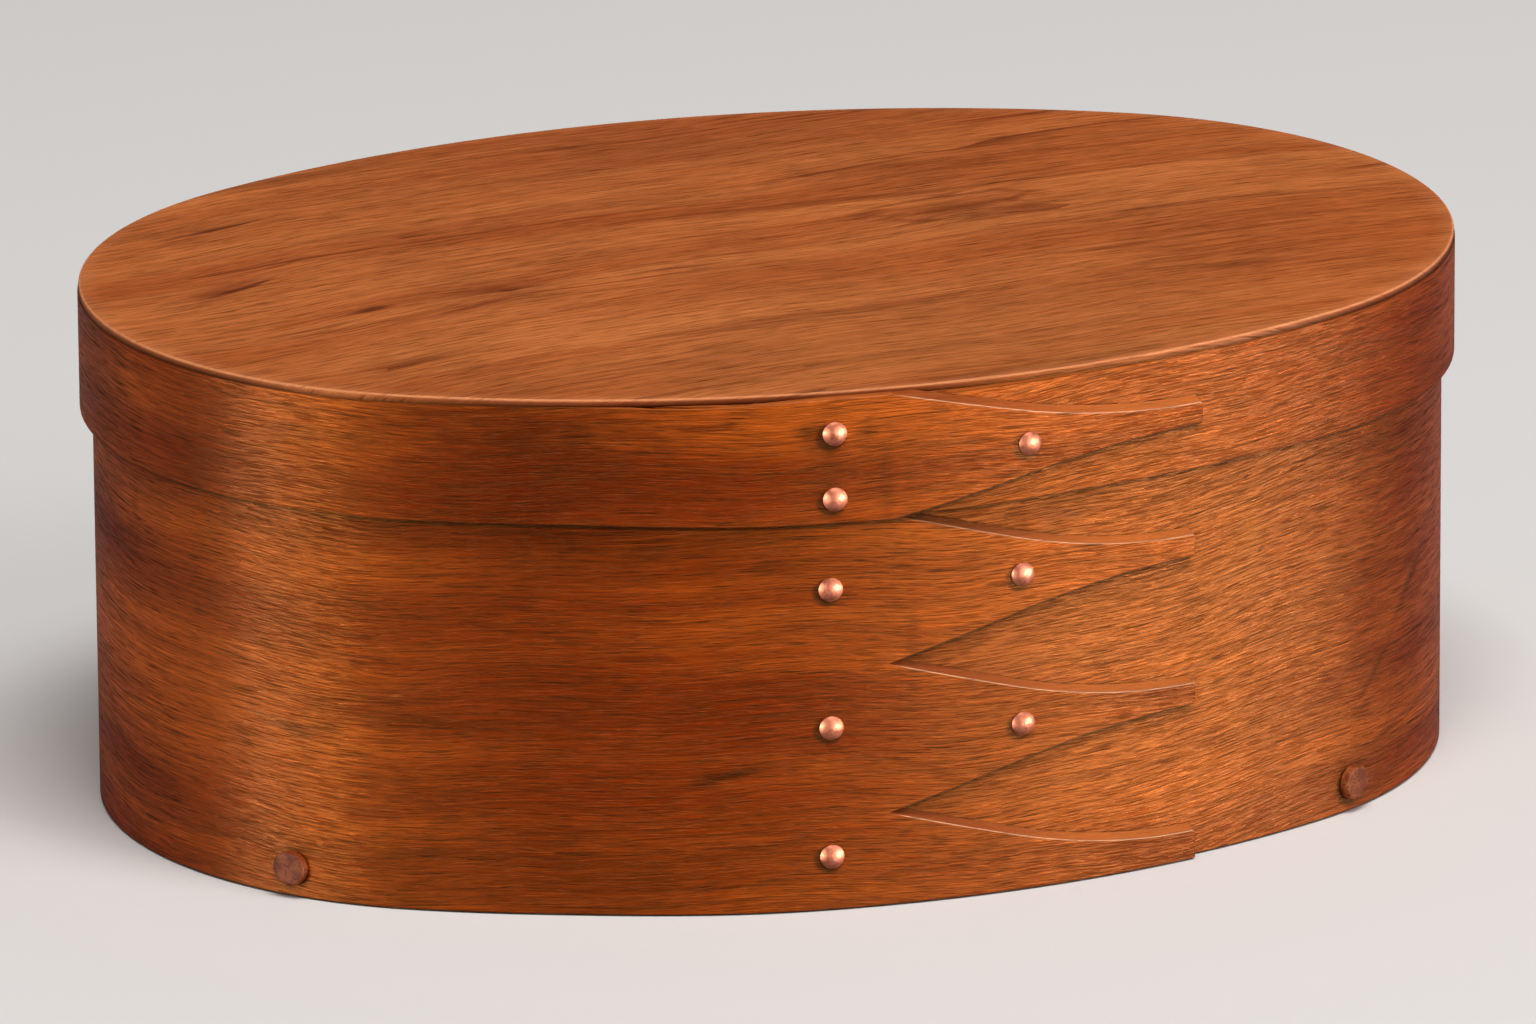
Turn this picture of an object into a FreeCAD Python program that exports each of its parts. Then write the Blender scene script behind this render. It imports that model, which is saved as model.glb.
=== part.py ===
import FreeCAD, Part
import math
import os

import Sketcher
from FreeCAD import Placement, Rotation, Vector

# A lidded oval box of bent wood, closed. Two thin strips are bent round and lapped on
# themselves at the front, where the outer layer ends in swallowtail fingers held by copper
# tacks. A board let into the bottom is held by wooden pegs. The lid's board plugs its band and
# covers the band's upper edge with a lip.
#
# Frame: +X along the oval, +Y to the back, +Z up, origin on the underside at the oval's centre.
# A place on the wall is given by its distance along the outside of the box band from the
# front's middle, to the right or, where it is negative, to the left, and by its offset
# outwards from there.

DRIVING_SIZES = (
    # the oval, on the outside of the box band away from the lap
    ("half_length", 108.0),
    ("half_width", 73.5),
    ("end_radius", 62.5),
    # strips
    ("band_thickness", 1.7),
    ("lap_gap", 0.06),
    ("feather_end", 0.25),
    ("lap_rise_start", -58.0),
    ("lap_rise_length", 44.0),
    ("lid_fall_start", 0.0),
    ("lid_fall_length", 44.0),
    # heights
    ("box_height", 77.8),
    ("bottom_board_thickness", 7.5),
    ("lid_board_thickness", 6.0),
    ("lid_lip_height", 1.2),
    ("lid_lip_inset", 0.2),
    ("lid_lip_rounding", 0.4),
    ("lid_band_height", 18.9),
    # clearances
    ("lid_clearance", 0.3),
    ("board_clearance", 0.1),
    ("hole_clearance", 0.05),
    # fingers
    ("finger_root", -2.4),
    ("finger_length", 52.0),
    ("finger_straight", 20.0),
    ("finger_rows", 2.62),
    ("finger_tip_height", 3.5),
    ("finger_bevel", 0.8),
    ("finger_root_below_lid", 0.3),
    ("lid_finger_above_edge", 9.6),
    # tacks
    ("tack_head_diameter", 3.8),
    ("tack_head_height", 0.95),
    ("tack_rim_height", 0.15),
    ("tack_shank_diameter", 1.2),
    ("tack_clinch_diameter", 2.2),
    ("tack_clinch_thickness", 0.35),
    ("tack_column", -11.4),
    ("tack_on_finger", 19.3),
    ("box_tack_above_bottom", 8.7),
    ("box_tack_below_root", 11.4),
    ("box_tack_middle_drop", 0.75),
    ("lid_tack_above_edge", 4.0),
    ("lid_tack_below_edge", 4.4),
    # pegs
    ("peg_head_diameter", 5.5),
    ("peg_head_length", 1.4),
    ("peg_head_rounding", 0.4),
    ("peg_shank_diameter", 3.0),
    ("peg_depth_in_board", 12.0),
    ("peg_below_board_top", 2.8),
    ("peg_distance_left", -96.3),
    ("peg_distance_right", 83.5),
)

DERIVED_SIZES = (
    ("end_centre", "=half_length - end_radius"),
    ("side_radius", "=(end_centre^2 + half_width^2 - end_radius^2) / (2 * (half_width - end_radius))"),
    ("side_centre", "=side_radius - half_width"),
    ("lap_step", "=band_thickness + lap_gap"),
    ("lap_grip", "=band_thickness + lap_step"),
    ("bottom_board_inset", "=band_thickness + board_clearance"),
    ("lid_band_bottom", "=box_height + lid_board_thickness - lid_lip_height - lid_band_height"),
    ("lid_band_top", "=lid_band_bottom + lid_band_height"),
    ("lid_lap_height", "=lid_band_height + lid_lip_height"),
    ("lid_finger_centre", "=lid_band_bottom + lid_finger_above_edge"),
    ("finger_tip", "=finger_root + finger_length"),
    ("top_root_height", "=lid_band_bottom - finger_root_below_lid"),
    ("finger_pitch", "=top_root_height / finger_rows"),
    ("peg_bore_depth", "=bottom_board_inset + peg_depth_in_board + hole_clearance"),
)

WASTE_MARGIN = 1.5  # how far a cutting solid reaches past what it cuts
CURVE_SPANS = 24  # spans of a curve through the lap
FINGER_SECTIONS = 14

os.makedirs("parts", exist_ok=True)
document = FreeCAD.newDocument("oval_box")
sheet = document.addObject("Spreadsheet::Sheet", "sizes")


# ---------------------------------------------------------------- sizes

def fill_sheet():
    for row, (alias, value) in enumerate(DRIVING_SIZES + DERIVED_SIZES, start=1):
        sheet.set(f"A{row}", alias)
        sheet.set(f"B{row}", str(value))
        sheet.setAlias(f"B{row}", alias)
    document.recompute()


def size(alias):
    return float(getattr(sheet, alias))


# ---------------------------------------------------------------- the wall in plan

def end_angle():
    # half the angle that an end arc covers
    return math.atan2(size("side_centre"), size("end_centre"))


def join_distance():
    # how far from the front's middle its side arc meets an end arc
    return size("side_radius") * (math.pi / 2 - end_angle())


def back_join_distance():
    # how far from the front's middle an end arc meets the back's side arc
    return join_distance() + 2 * size("end_radius") * end_angle()


def wall_frame(distance):
    # the direction square to the wall, and the centre and radius of the wall's arc there
    side = math.copysign(1, distance)
    past_join = abs(distance) - join_distance()
    if past_join <= 0:
        radius = size("side_radius")
        direction = Vector(math.sin(distance / radius), -math.cos(distance / radius), 0)
        return direction, Vector(0, size("side_centre"), 0), radius
    radius = size("end_radius")
    bearing = past_join / radius - end_angle()
    direction = Vector(side * math.cos(bearing), math.sin(bearing), 0)
    return direction, Vector(side * size("end_centre"), 0, 0), radius


def wall_point(distance, offset, height=0.0):
    direction, centre, radius = wall_frame(distance)
    point = centre + direction * (radius + offset)
    return Vector(point.x, point.y, height)


def ease(distance, start, length):
    # 0 before start and 1 past start + length, with half a cosine wave between
    share = min(max((distance - start) / length, 0.0), 1.0)
    return (1 - math.cos(math.pi * share)) / 2


def lap_rise(distance):
    return ease(distance, size("lap_rise_start"), size("lap_rise_length"))


class Strip:
    # one bent strip in plan, by the offsets of its faces along the front

    def __init__(self, inside, bulge):
        self.inside = inside  # offset of the inside face away from the lap
        self.bulge = bulge  # how far the whole strip stands out over another strip's lap

    def inner(self, distance):
        fall = ease(distance, size("finger_root") + size("lid_fall_start"), size("lid_fall_length"))
        return self.inside + self.bulge * lap_rise(distance) * (1 - fall)

    def outer(self, distance):
        return self.inner(distance) + size("band_thickness")

    def lap_inner(self, distance):
        return self.inner(distance) + size("lap_step") * lap_rise(distance)

    def lap_outer(self, distance):
        return self.lap_inner(distance) + size("band_thickness")

    def lap_middle(self, distance):
        return self.outer(distance) + size("lap_gap") / 2

    def feather(self, distance):
        return self.lap_inner(distance) - size("lap_gap")


def wall_curve(face, start, end):
    # a smooth curve along one face of a strip, from one distance to another
    step = (end - start) / CURVE_SPANS
    distances = [start + step * span for span in range(CURVE_SPANS + 1)]
    curve = Part.BSplineCurve()
    curve.interpolate([wall_point(distance, face(distance)) for distance in distances])
    return curve.toShape()


def wall_arc(offset, start, end):
    # an arc of the wall within one of the oval's four arcs
    places = (start, (start + end) / 2, end)
    return Part.Arc(*(wall_point(place, offset) for place in places)).toShape()


def round_the_back(offset, left, right):
    # arcs from a place left on the front, round both ends and the back, to a place right
    edges = []
    for side, place in ((-1, -left), (1, right)):
        start = max(place, join_distance())
        if place < join_distance():
            edges.append(wall_arc(offset, side * place, side * join_distance()))
        edges.append(wall_arc(offset, side * start, side * back_join_distance()))
    back = Vector(0, size("half_width") + offset, 0)
    joins = [wall_point(side * back_join_distance(), offset) for side in (-1, 1)]
    edges.append(Part.Arc(joins[0], back, joins[1]).toShape())
    return edges


def feather_tip():
    # the inner layer starts where it is feather_end thick
    share = (size("feather_end") + size("lap_gap")) / size("lap_step")
    return size("lap_rise_start") + size("lap_rise_length") * math.acos(1 - 2 * share) / math.pi


def line(first, last):
    return Part.LineSegment(first, last).toShape()


def closed_face(edges):
    return Part.Face(Part.Wire(Part.sortEdges(edges)[0]))


def strip_plan(strip):
    rise_start = size("lap_rise_start")
    rise_end = rise_start + size("lap_rise_length")
    lap_end = size("finger_tip") + size("band_thickness")
    tip = size("finger_tip")
    start = feather_tip()
    edges = round_the_back(strip.inside + size("band_thickness"), rise_start, lap_end)
    edges += round_the_back(strip.inside, rise_start, lap_end)
    edges += [
        wall_curve(strip.outer, lap_end, rise_end),
        wall_curve(strip.feather, rise_end, start),
        line(wall_point(start, strip.feather(start)), wall_point(start, strip.inner(start))),
        wall_curve(strip.inner, start, lap_end),
        wall_curve(strip.lap_inner, rise_start, tip),
        line(wall_point(tip, strip.lap_inner(tip)), wall_point(tip, strip.lap_outer(tip))),
        wall_curve(strip.lap_outer, tip, rise_start),
    ]
    return closed_face(edges)


# ---------------------------------------------------------------- fingers

def finger_half_height(along, root_half_height):
    # straight from the root, then a parabola that comes level at the tip
    tip_half_height = size("finger_tip_height") / 2
    straight = size("finger_straight")
    curved = size("finger_length") - straight
    slope = (root_half_height - tip_half_height) / (straight + curved / 2)
    if along < straight:
        return root_half_height - slope * along
    return tip_half_height + slope * (size("finger_length") - along) ** 2 / (2 * curved)


def finger_section(strip, distance, centre, root_halves, lower_edge):
    # a slice across the finger: wider where it lies on the layer beneath, for the beveled sides
    face = strip.lap_outer(distance)
    above, below = (finger_half_height(distance - size("finger_root"), half) for half in root_halves)
    slant = size("finger_bevel") / size("band_thickness")
    corners = []
    for offset in (strip.outer(distance) - WASTE_MARGIN, face + WASTE_MARGIN):
        spread = slant * (face - offset)
        low = centre - below - spread if lower_edge is None else lower_edge
        high = centre + above + spread
        corners.append((wall_point(distance, offset, low), wall_point(distance, offset, high)))
    (base_low, base_high), (face_low, face_high) = corners
    return Part.makePolygon([base_low, base_high, face_high, face_low, base_low])


def finger_blank(name, strip, centre, root_halves, lower_edge=None):
    # root_halves are the finger's heights above and below its centre at the root
    start = size("finger_root") - size("finger_straight") / 2
    step = (size("finger_tip") + WASTE_MARGIN - start) / (FINGER_SECTIONS - 1)
    distances = [start + step * number for number in range(FINGER_SECTIONS)]
    sections = [finger_section(strip, distance, centre, root_halves, lower_edge)
                for distance in distances]
    blank = document.addObject("Part::Feature", name)
    blank.Shape = Part.makeLoft(sections, True, False)
    return blank


def waste_plan(strip):
    # the outer layer from the roots to the tips, from inside the lap's gap outwards
    root = size("finger_root")
    end = size("finger_tip") + WASTE_MARGIN / 2

    def clear(distance):
        return strip.lap_outer(distance) + WASTE_MARGIN / 2

    return closed_face([
        wall_curve(strip.lap_middle, root, end),
        line(wall_point(end, strip.lap_middle(end)), wall_point(end, clear(end))),
        wall_curve(clear, end, root),
        line(wall_point(root, clear(root)), wall_point(root, strip.lap_middle(root))),
    ])


# ---------------------------------------------------------------- small document helpers

def extruded(name, face, bottom, height):
    # bottom and height are expressions over the sheet
    plan = document.addObject("Part::Feature", name + "_plan")
    plan.Shape = face
    plan.setExpression("Placement.Base.z", bottom)
    solid = document.addObject("Part::Extrusion", name)
    solid.Base = plan
    solid.DirMode = "Custom"
    solid.Dir = Vector(0, 0, 1)
    solid.Solid = True
    solid.setExpression("LengthFwd", height)
    return solid


def fused(name, objects):
    union = document.addObject("Part::MultiFuse", name)
    union.Shapes = objects
    return union


def cut(name, base, tool):
    remainder = document.addObject("Part::Cut", name)
    remainder.Base = base
    remainder.Tool = tool
    return remainder


def cylinder(name, radius, height, placement):
    # radius and height are expressions over the sheet
    solid = document.addObject("Part::Cylinder", name)
    solid.setExpression("Radius", radius)
    solid.setExpression("Height", height)
    solid.Placement = placement
    return solid


def facing(point, direction):
    # the placement that puts a piece's origin at point and its own +Z along direction
    return Placement(point, Rotation(Vector(0, 0, 1), direction))


# ---------------------------------------------------------------- places for tacks and pegs

def tack_place(strip, distance, height):
    # on the outer layer's face, square to it
    reach = size("tack_head_diameter") / 2
    before = wall_point(distance - reach, strip.lap_outer(distance - reach))
    after = wall_point(distance + reach, strip.lap_outer(distance + reach))
    along = after - before
    point = wall_point(distance, strip.lap_outer(distance), height)
    return facing(point, Vector(along.y, -along.x, 0).normalize())


def box_tack_places(strip):
    low = size("box_tack_above_bottom")
    high = size("top_root_height") - size("box_tack_below_root")
    middle = (low + high) / 2 - size("box_tack_middle_drop")
    column = [tack_place(strip, size("tack_column"), height) for height in (low, middle, high)]
    return column + [tack_place(strip, size("tack_on_finger"), centre) for centre in finger_centres()[1:]]


def lid_tack_places(strip):
    bottom, top = size("lid_band_bottom"), size("lid_band_top")
    heights = (bottom + size("lid_tack_above_edge"), top - size("lid_tack_below_edge"))
    column = [tack_place(strip, size("tack_column"), height) for height in heights]
    return column + [tack_place(strip, size("tack_on_finger"), size("lid_finger_centre"))]


def peg_places():
    # one near each corner of the oval, the back pair half a turn from the front pair
    height = size("bottom_board_thickness") - size("peg_below_board_top")
    places = []
    for half_turn in (1, -1):
        for distance in (size("peg_distance_left"), size("peg_distance_right")):
            point = wall_point(distance, 0) * half_turn
            direction = wall_frame(distance)[0] * half_turn
            places.append(facing(Vector(point.x, point.y, height), direction))
    return places


def finger_centres():
    # from the bottom up; the band's lower edge cuts the lowest finger short
    count = math.ceil(size("finger_rows"))
    top = size("top_root_height") - size("finger_pitch") / 2
    return [top - size("finger_pitch") * number for number in reversed(range(count))]


# ---------------------------------------------------------------- bands

def tack_holes(name, places):
    # through both layers, with a wider seat at the inside face for the clinched end
    shank, clinch = (f"sizes.tack_{part}_diameter / 2 + sizes.hole_clearance" for part in ("shank", "clinch"))
    seat_depth = "sizes.tack_clinch_thickness + sizes.hole_clearance"
    holes = []
    for number, place in enumerate(places, start=1):
        start = place.multiply(Placement(Vector(0, 0, -size("lap_grip") - WASTE_MARGIN), Rotation()))
        holes.append(cylinder(f"{name}_hole_{number}", shank, f"sizes.lap_grip + {2 * WASTE_MARGIN}", start))
        holes.append(cylinder(f"{name}_seat_{number}", clinch, f"{seat_depth} + {WASTE_MARGIN}", start))
    return holes


def peg_holes(name):
    # through the band and into the board
    radius = "sizes.peg_shank_diameter / 2 + sizes.hole_clearance"
    depth = f"sizes.peg_bore_depth + {WASTE_MARGIN}"
    holes = []
    for number, place in enumerate(peg_places(), start=1):
        start = place.multiply(Placement(Vector(0, 0, -size("peg_bore_depth")), Rotation()))
        holes.append(cylinder(f"{name}_peg_hole_{number}", radius, depth, start))
    return holes


def band(name, strip, bottom, height, blanks, cuts):
    coil = extruded(name + "_coil", strip_plan(strip), bottom, height)
    waste = extruded(name + "_waste_stock", waste_plan(strip), f"{bottom} - {WASTE_MARGIN}",
                     f"{height} + {2 * WASTE_MARGIN}")
    fingers = fused(name + "_fingers", blanks) if len(blanks) > 1 else blanks[0]
    shaped = cut(name + "_shaped", coil, cut(name + "_waste", waste, fingers))
    return cut(name, shaped, fused(name + "_cuts", cuts))


def box_band(strip):
    half = size("finger_pitch") / 2
    blanks = []
    for number, centre in enumerate(finger_centres(), start=1):
        lower_edge = -WASTE_MARGIN if number == 1 else None
        blanks.append(finger_blank(f"box_finger_{number}", strip, centre, (half, half), lower_edge))
    holes = tack_holes("box", box_tack_places(strip)) + peg_holes("band")
    return band("box_band", strip, "0", "sizes.box_height", blanks, holes)


def ledge_plan(strip):
    # all but the outer layer at the lap, for the ledge that the lid board's lip covers
    left = feather_tip()
    right = size("finger_root") + size("finger_straight")
    clear = strip.inside + strip.bulge + size("lap_grip") + WASTE_MARGIN
    edges = round_the_back(clear, left, right) + [wall_curve(strip.lap_middle, left, right)]
    edges += [line(wall_point(end, clear), wall_point(end, strip.lap_middle(end))) for end in (left, right)]
    return closed_face(edges)


def lid_band(strip):
    # its outer layer stands as high as the lid board's lip, past the ledge of the inner layer
    centre = size("lid_finger_centre")
    halves = (size("lid_band_bottom") + size("lid_lap_height") - centre, size("lid_finger_above_edge"))
    blank = finger_blank("lid_finger", strip, centre, halves)
    ledge = extruded("lid_ledge", ledge_plan(strip), "sizes.lid_band_top",
                     f"sizes.lid_lip_height + {WASTE_MARGIN}")
    cuts = tack_holes("lid", lid_tack_places(strip)) + [ledge]
    return band("lid_band", strip, "sizes.lid_band_bottom", "sizes.lid_lap_height", [blank], cuts)


# ---------------------------------------------------------------- boards

def origin_plane(body, role):
    return next(plane for plane in body.Origin.OriginFeatures if plane.Role == role)


def oval_sketch(body, inset):
    # four arcs, each tangent to the next; inset is an expression
    sketch = body.newObject("Sketcher::SketchObject", body.Name + "_outline")
    sketch.AttachmentSupport = (origin_plane(body, "XY_Plane"), [""])
    sketch.MapMode = "FlatFace"
    join = end_angle()
    arcs = (
        (size("end_centre"), 0, size("end_radius"), -join, join),
        (0, -size("side_centre"), size("side_radius"), join, math.pi - join),
        (-size("end_centre"), 0, size("end_radius"), math.pi - join, math.pi + join),
        (0, size("side_centre"), size("side_radius"), math.pi + join, 2 * math.pi - join),
    )
    for x, y, radius, first, last in arcs:
        circle = Part.Circle(Vector(x, y, 0), Vector(0, 0, 1), radius - size(inset))
        sketch.addGeometry(Part.ArcOfCircle(circle, first, last), False)
    for number in range(4):
        sketch.addConstraint(Sketcher.Constraint("Tangent", number, 2, (number + 1) % 4, 1))
    for number, radius in enumerate(("end_radius", "side_radius", "end_radius", "side_radius")):
        index = sketch.addConstraint(Sketcher.Constraint("Radius", number, size(radius) - size(inset)))
        sketch.setExpression(f"Constraints[{index}]", f"sizes.{radius} - sizes.{inset}")
    for number, sign in ((0, ""), (2, "-")):
        sketch.addConstraint(Sketcher.Constraint("PointOnObject", number, 3, -1))
        index = sketch.addConstraint(Sketcher.Constraint("DistanceX", -1, 1, number, 3, arcs[number][0]))
        sketch.setExpression(f"Constraints[{index}]", f"{sign}sizes.end_centre")
    return sketch


def bottom_board():
    body = document.addObject("PartDesign::Body", "bottom_board_blank")
    pad = body.newObject("PartDesign::Pad", "bottom_board_thickness")
    pad.Profile = oval_sketch(body, "bottom_board_inset")
    pad.setExpression("Length", "sizes.bottom_board_thickness")
    return cut("bottom_board", body, fused("board_holes", peg_holes("board")))


def lid_board(strip):
    # A plug inside the lid band, resting on the box band's upper edge, and a plain oval lip
    # over it that covers the ledge of the lid band and stops a little short of its face.
    def plug_edge(distance):
        return strip.inner(distance) - size("board_clearance")

    left = size("lap_rise_start")
    right = size("finger_tip") + size("band_thickness")
    front = [wall_curve(plug_edge, right, left)]
    plug_plan = closed_face(round_the_back(plug_edge(left), left, right) + front)
    join = join_distance()
    lip_edge = strip.inside + size("band_thickness") - size("lid_lip_inset")
    lip_plan = closed_face(round_the_back(lip_edge, -join, join) + [wall_arc(lip_edge, -join, join)])
    plug = extruded("lid_plug", plug_plan, "sizes.box_height",
                    "sizes.lid_board_thickness - sizes.lid_lip_height")
    lip = extruded("lid_lip", lip_plan, "sizes.lid_band_top", "sizes.lid_lip_height")
    blank = fused("lid_board_blank", [plug, lip])
    document.recompute()
    middle_of_lip = size("lid_band_top") + size("lid_lip_height") / 2
    rounding = min(size("lid_lip_rounding"), size("lid_lip_height"))
    board = document.addObject("Part::Fillet", "lid_board")
    board.Base = blank
    board.Edges = [(number, rounding, rounding) for number, rim in enumerate(blank.Shape.Edges, start=1)
                   if min(vertex.Z for vertex in rim.Vertexes) > middle_of_lip]
    return board


# ---------------------------------------------------------------- tacks and pegs

def turned_body(name, outline, domed):
    # A body turned about its own Z from (radius, height) expressions that go down from the top
    # of its axis to the bottom. Where domed, the first stretch is an arc centred on the axis.
    body = document.addObject("PartDesign::Body", name)
    sketch = body.newObject("Sketcher::SketchObject", name + "_outline")
    sketch.AttachmentSupport = (origin_plane(body, "XZ_Plane"), [""])
    sketch.MapMode = "FlatFace"
    points = [Vector(measure(radius), measure(height), 0) for radius, height in outline]
    ends = []  # each stretch's first and last end: the dome's arc runs the other way, up to the crown
    for number, (first, last) in enumerate(zip(points, points[1:] + points[:1])):
        domes = domed and number == 0
        sketch.addGeometry(dome_arc(first, last) if domes else Part.LineSegment(first, last), False)
        ends.append((2, 1) if domes else (1, 2))
    if domed:
        sketch.addConstraint(Sketcher.Constraint("PointOnObject", 0, 3, -2))
    for number, (radius, height) in enumerate(outline):
        start = ends[number][0]
        sketch.addConstraint(Sketcher.Constraint("Coincident", number - 1 if number else len(outline) - 1,
                                                 ends[number - 1][1], number, start))
        for kind, axis, text in (("DistanceX", -2, radius), ("DistanceY", -1, height)):
            locate(sketch, number, start, kind, axis, text)
    turn = body.newObject("PartDesign::Revolution", name + "_turned")
    turn.Profile = sketch
    turn.ReferenceAxis = (sketch, ["V_Axis"])
    turn.Angle = 360
    return body


def locate(sketch, geometry, end, kind, axis, text):
    # ties one coordinate of a sketch point to an expression, or to the axis where it is 0
    if text == "0":
        sketch.addConstraint(Sketcher.Constraint("PointOnObject", geometry, end, axis))
        return
    index = sketch.addConstraint(Sketcher.Constraint(kind, -1, 1, geometry, end, measure(text)))
    sketch.setExpression(f"Constraints[{index}]", text)


def measure(text):
    # the value of an expression over the sheet
    return float(sheet.evalExpression(text.replace("sizes.", "")))


def dome_arc(crown, rim):
    rise = crown.y - rim.y
    radius = (rim.x ** 2 + rise ** 2) / (2 * rise)
    circle = Part.Circle(Vector(0, crown.y - radius, 0), Vector(0, 0, 1), radius)
    return Part.ArcOfCircle(circle, math.atan2(rim.y - circle.Center.y, rim.x), math.pi / 2)


def tack(name, place):
    # domed head on the face, shank through both layers, end clinched flat in the inside face
    head, shank, clinch = (f"sizes.tack_{part}_diameter / 2" for part in ("head", "shank", "clinch"))
    clinch_top = "sizes.tack_clinch_thickness - sizes.lap_grip"
    body = turned_body(name, [
        ("0", "sizes.tack_head_height"),
        (head, "sizes.tack_rim_height"),
        (head, "0"),
        (shank, "0"),
        (shank, clinch_top),
        (clinch, clinch_top),
        (clinch, "-sizes.lap_grip"),
        ("0", "-sizes.lap_grip"),
    ], domed=True)
    body.Placement = place
    return body


def peg(name, place):
    # flat head standing off the band, shank through it into the board
    head, shank = (f"sizes.peg_{part}_diameter / 2" for part in ("head", "shank"))
    depth = "-(sizes.bottom_board_inset + sizes.peg_depth_in_board)"
    body = turned_body(name, [
        ("0", "sizes.peg_head_length"),
        (head, "sizes.peg_head_length"),
        (head, "0"),
        (shank, "0"),
        (shank, depth),
        ("0", depth),
    ], domed=False)
    document.recompute()
    turned = body.Tip
    top = size("peg_head_length")
    rim = next(number for number, edge in enumerate(turned.Shape.Edges, start=1)
               if len(edge.Vertexes) == 1 and abs(edge.BoundBox.ZMin - top) < 1e-6)
    rounding = body.newObject("PartDesign::Fillet", name + "_rounding")
    rounding.Base = (turned, [f"Edge{rim}"])
    rounding.setExpression("Radius", "sizes.peg_head_rounding")
    body.Placement = place
    return body


# ---------------------------------------------------------------- the assembly

def check_and_write(pieces):
    document.recompute()
    for item in document.Objects:
        if "Invalid" in item.State or "Error" in item.State:
            raise RuntimeError(f"{item.Label} failed: {item.State}")
    for piece in pieces:
        shape = piece.Shape
        if shape.isNull() or not shape.isValid() or len(shape.Solids) != 1:
            raise RuntimeError(f"{piece.Label} isn't one valid solid")
    for piece in pieces:
        piece.Shape.exportStep(f"parts/{piece.Label}.step")
        box = piece.Shape.BoundBox
        print(f"{piece.Label:24s} {piece.Shape.Volume:10.1f} mm3  x {box.XMin:7.2f} {box.XMax:7.2f}"
              f"  y {box.YMin:7.2f} {box.YMax:7.2f}  z {box.ZMin:6.2f} {box.ZMax:6.2f}")


def main():
    fill_sheet()
    box_strip = Strip(-size("band_thickness"), 0)
    lid_strip = Strip(size("lid_clearance"), size("lap_step"))
    pieces = [box_band(box_strip), bottom_board(), lid_band(lid_strip), lid_board(lid_strip)]
    for lead, places in (("box", box_tack_places(box_strip)), ("lid", lid_tack_places(lid_strip))):
        for number, place in enumerate(places, start=1):
            pieces.append(tack(f"{lead}_tack_{number}", place))
    for number, place in enumerate(peg_places(), start=1):
        pieces.append(peg(f"bottom_peg_{number}", place))
    check_and_write(pieces)


main()
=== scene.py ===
import math

import bmesh
import bpy
import mathutils
import numpy as np
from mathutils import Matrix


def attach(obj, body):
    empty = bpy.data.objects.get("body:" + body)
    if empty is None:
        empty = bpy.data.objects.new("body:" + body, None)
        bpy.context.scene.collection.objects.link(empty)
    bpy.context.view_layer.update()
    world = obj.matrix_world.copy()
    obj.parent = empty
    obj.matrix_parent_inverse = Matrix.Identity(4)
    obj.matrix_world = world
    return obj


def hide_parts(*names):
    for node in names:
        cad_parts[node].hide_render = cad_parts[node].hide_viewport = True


# A lidded oval box of bent cherry, closed: two strips lapped on themselves with swallowtail
# fingers, copper tacks, boards let into the bottom and the lid, and wooden pegs.
# Lengths are in metres. A place on the wall is its distance along the outside of the box's
# strip from the front's middle (right is positive) and its offset outwards from there.

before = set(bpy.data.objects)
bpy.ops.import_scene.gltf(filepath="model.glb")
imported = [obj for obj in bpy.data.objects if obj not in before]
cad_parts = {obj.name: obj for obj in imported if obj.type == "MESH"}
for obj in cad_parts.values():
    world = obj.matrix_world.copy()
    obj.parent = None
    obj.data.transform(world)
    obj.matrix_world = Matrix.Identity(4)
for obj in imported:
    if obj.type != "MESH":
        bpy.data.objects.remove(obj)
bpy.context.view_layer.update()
print("frame loaded:", len(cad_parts), "nodes")
addToScene = bpy.context.scene.collection.objects.link


# the oval in plan

oval = {"halfLength": 0.108, "halfWidth": 0.0735, "endRadius": 0.0625}
endCentre = oval["halfLength"] - oval["endRadius"]
sideRadius = ((endCentre ** 2 + oval["halfWidth"] ** 2 - oval["endRadius"] ** 2)
              / (2 * (oval["halfWidth"] - oval["endRadius"])))
sideCentre = sideRadius - oval["halfWidth"]
endAngle = math.atan2(sideCentre, endCentre)
frontJoin = sideRadius * (math.pi / 2 - endAngle)
backJoin = frontJoin + 2 * oval["endRadius"] * endAngle
wholeWay = 2 * (backJoin + frontJoin)  # once round


def wallPlace(distance, offset):
    # Four arcs, each tangent to the next. The bearing turns by distance over radius, and a point
    # is its arc's centre plus the bearing's direction times radius plus offset.
    folded = (distance + wholeWay / 2) % wholeWay - wholeWay / 2
    side, along = np.where(folded < 0, -1.0, 1.0), np.abs(folded)
    front = along / sideRadius
    end = (along - frontJoin) / oval["endRadius"] - endAngle
    back = (wholeWay / 2 - along) / sideRadius
    onFront, onEnd = along <= frontJoin, along <= backJoin
    outX = side * np.select([onFront, onEnd], [np.sin(front), np.cos(end)], np.sin(back))
    outY = np.select([onFront, onEnd], [-np.cos(front), np.sin(end)], np.cos(back))
    centreX = side * np.select([onFront, onEnd], [0.0, endCentre], 0.0)
    centreY = np.select([onFront, onEnd], [sideCentre, 0.0], -sideCentre)
    radius = np.select([onFront, onEnd], [sideRadius, oval["endRadius"]], sideRadius)
    return centreX + outX * (radius + offset), centreY + outY * (radius + offset), outX, outY


def easeUp(distance, start, length):
    # half a cosine wave from 0 before start to 1 past start + length
    share = np.clip((distance - start) / length, 0, 1)
    return (1 - np.cos(np.pi * share)) / 2


def arcDrop(distance, radius):
    # how far a quarter circle has fallen at a distance past its start
    past = np.clip(distance, 0, radius)
    return radius - np.sqrt(np.maximum(radius ** 2 - past ** 2, 0))


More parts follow.
